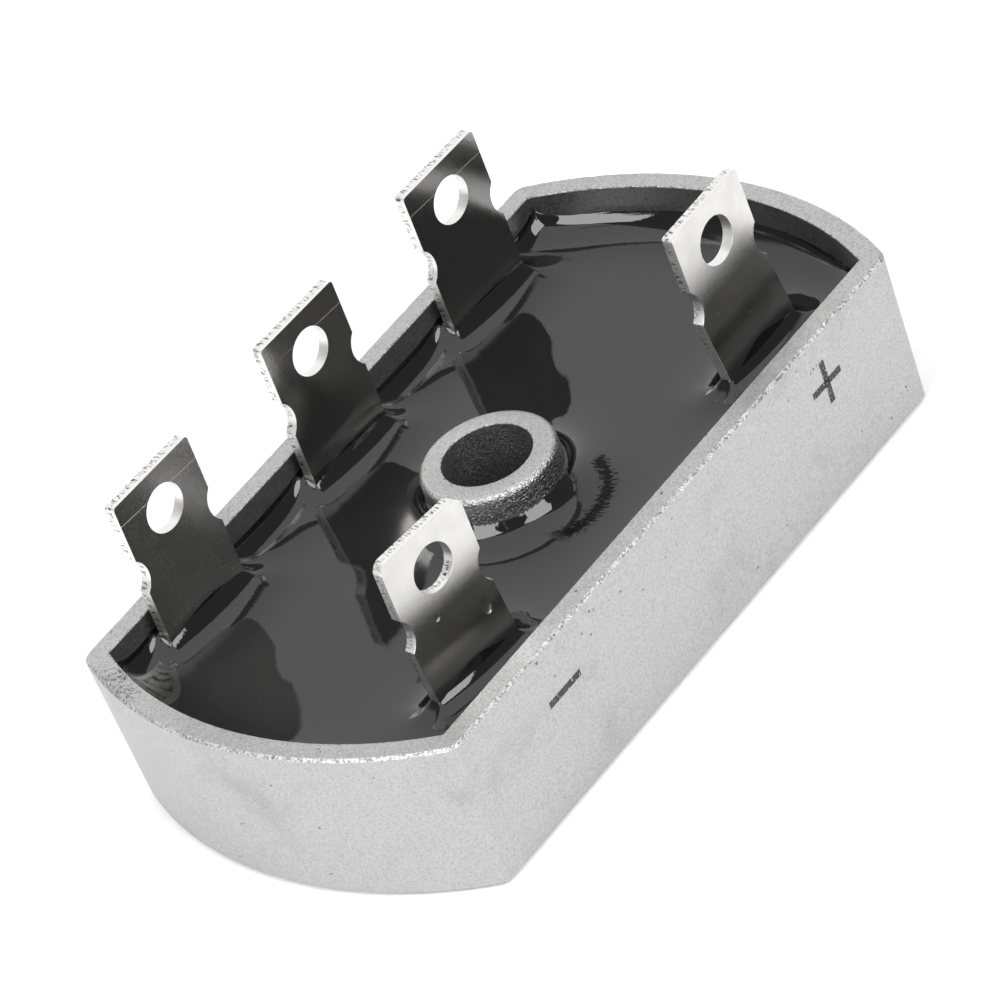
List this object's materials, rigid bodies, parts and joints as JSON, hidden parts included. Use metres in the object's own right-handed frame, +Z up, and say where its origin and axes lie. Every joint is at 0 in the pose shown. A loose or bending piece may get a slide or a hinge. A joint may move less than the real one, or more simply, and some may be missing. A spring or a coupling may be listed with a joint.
{
  "type": "bridge rectifier module",
  "caption": "Three-phase bridge rectifier module: a cast metal tray with rounded ends and a central mounting bore, black potting resin and upright solder lugs.",
  "frame": {"origin": "middle of the underside, on the axis of the mounting bore", "axes": "+Z up out of the open tray, +X along the module towards the positive lug, -Y towards the two direct-current lugs"},
  "size_m": [0.057, 0.0304, 0.0207],
  "materials": {
    "cast_aluminium": "satin",
    "epoxy_resin": "gloss",
    "adhesive": "matte",
    "ceramic": "matte",
    "copper": "satin",
    "silicon": "gloss",
    "plated_lug": "satin",
    "solder": "satin"
  },
  "bodies": {
    "root": {"case": "cast_aluminium", "potting": "epoxy_resin", "insulator_adhesive": "adhesive", "ceramic_insulator": "ceramic", "plus_plate": "copper", "minus_plate": "copper", "diode_chip_plus_1": "silicon", "diode_chip_plus_2": "silicon", "diode_chip_plus_3": "silicon", "diode_chip_minus_1": "silicon", "diode_chip_minus_2": "silicon", "diode_chip_minus_3": "silicon", "ac_jumper_1": "copper", "ac_jumper_2": "copper", "ac_jumper_3": "copper", "ac_lug_1": "plated_lug", "ac_lug_2": "plated_lug", "ac_lug_3": "plated_lug", "plus_lug": "plated_lug", "minus_lug": "plated_lug", "solder_ac_lug_1": "solder", "solder_ac_lug_2": "solder", "solder_ac_lug_3": "solder", "solder_plus_lug": "solder", "solder_minus_lug": "solder"}
  },
  "joints": []
}
